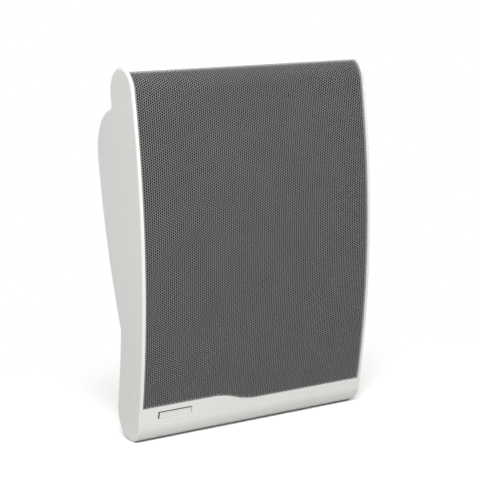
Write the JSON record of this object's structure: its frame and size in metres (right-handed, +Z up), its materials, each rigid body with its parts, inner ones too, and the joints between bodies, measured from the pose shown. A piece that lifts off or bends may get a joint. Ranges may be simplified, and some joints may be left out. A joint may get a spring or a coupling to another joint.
{
  "type": "wall speaker",
  "caption": "Wall speaker with a curved white moulded cabinet, a finely perforated dark grey grille, a driver behind it, push terminals and a keyhole plate.",
  "frame": {"origin": "on the wall plane, at the centre of the two keyhole entries", "axes": "+Z up, +Y into the wall, +X to the right seen from the front, which faces -Y"},
  "size_m": [0.2072, 0.0768, 0.2949],
  "materials": {
    "cabinet_white": "fine satin moulding",
    "grille_paint": "satin powder coat, finely perforated",
    "plate_metal": "satin, blank",
    "black_cloth": "thin open weave",
    "fibre_board": "pressed wood fibre",
    "frame_paint": "black stove enamel",
    "gasket_foam": "cut foam rubber",
    "cone_paper": "pressed paper pulp",
    "former_foil": "thin foil tube",
    "winding_copper": "lacquered copper wire",
    "surround_rubber": "soft matt rubber",
    "spider_cloth": "resin-dipped weave",
    "zinc_steel": "bright zinc plate",
    "ferrite": "ground ceramic",
    "tag_fibre": "laminated sheet",
    "tinned_brass": "tinned",
    "terminal_black": "fine moulded grain",
    "terminal_red": "smooth moulding",
    "wire_red": "soft wire jacket",
    "wire_black": "soft wire jacket"
  },
  "bodies": {
    "housing": {"cabinet": "cabinet_white", "grille": "grille_paint", "nameplate": "plate_metal", "dust_cloth": "black_cloth", "baffle": "fibre_board", "baffle_screws": "zinc_steel", "driver_frame": "frame_paint", "driver_gasket": "gasket_foam", "driver_screws": "zinc_steel", "surround": "surround_rubber", "spider": "spider_cloth", "top_plate": "zinc_steel", "magnet": "ferrite", "pole_yoke": "zinc_steel", "tag_board": "tag_fibre", "solder_tags": "tinned_brass", "flex_leads": "winding_copper", "lead_red": "wire_red", "lead_black": "wire_black", "terminal_cup": "terminal_black", "terminal_screws": "zinc_steel", "contact_red": "tinned_brass", "contact_black": "tinned_brass", "hanger_plate": "zinc_steel", "hanger_screws": "zinc_steel"},
    "cone_assembly": {"cone": "cone_paper", "whizzer_cone": "cone_paper", "dust_cap": "cone_paper", "coil_former": "former_foil", "voice_coil": "winding_copper"},
    "red_lever": {"lever_red": "terminal_red"},
    "black_lever": {"lever_black": "terminal_black"}
  },
  "joints": [
    {"name": "cone_travel", "type": "slide", "parent": "housing", "child": "cone_assembly", "axis": [0, -0.9911, -0.1334], "range_m": [-0.0025, 0.0025], "stiffness_N_per_m": 2500, "deforming": ["surround", "spider", "flex_leads"]},
    {"name": "lever_red_press", "type": "hinge", "parent": "housing", "child": "red_lever", "pos_m": [-0.01, -0.02108, -0.15496], "axis": [1, 0, 0], "range_deg": [0, 12], "stiffness_Nm_per_rad": 0.05, "springref_deg": -17.19, "deforming": ["contact_red"]},
    {"name": "lever_black_press", "type": "hinge", "parent": "housing", "child": "black_lever", "pos_m": [0.01, -0.02108, -0.15496], "axis": [1, 0, 0], "range_deg": [0, 12], "stiffness_Nm_per_rad": 0.05, "springref_deg": -17.19, "deforming": ["contact_black"]}
  ]
}
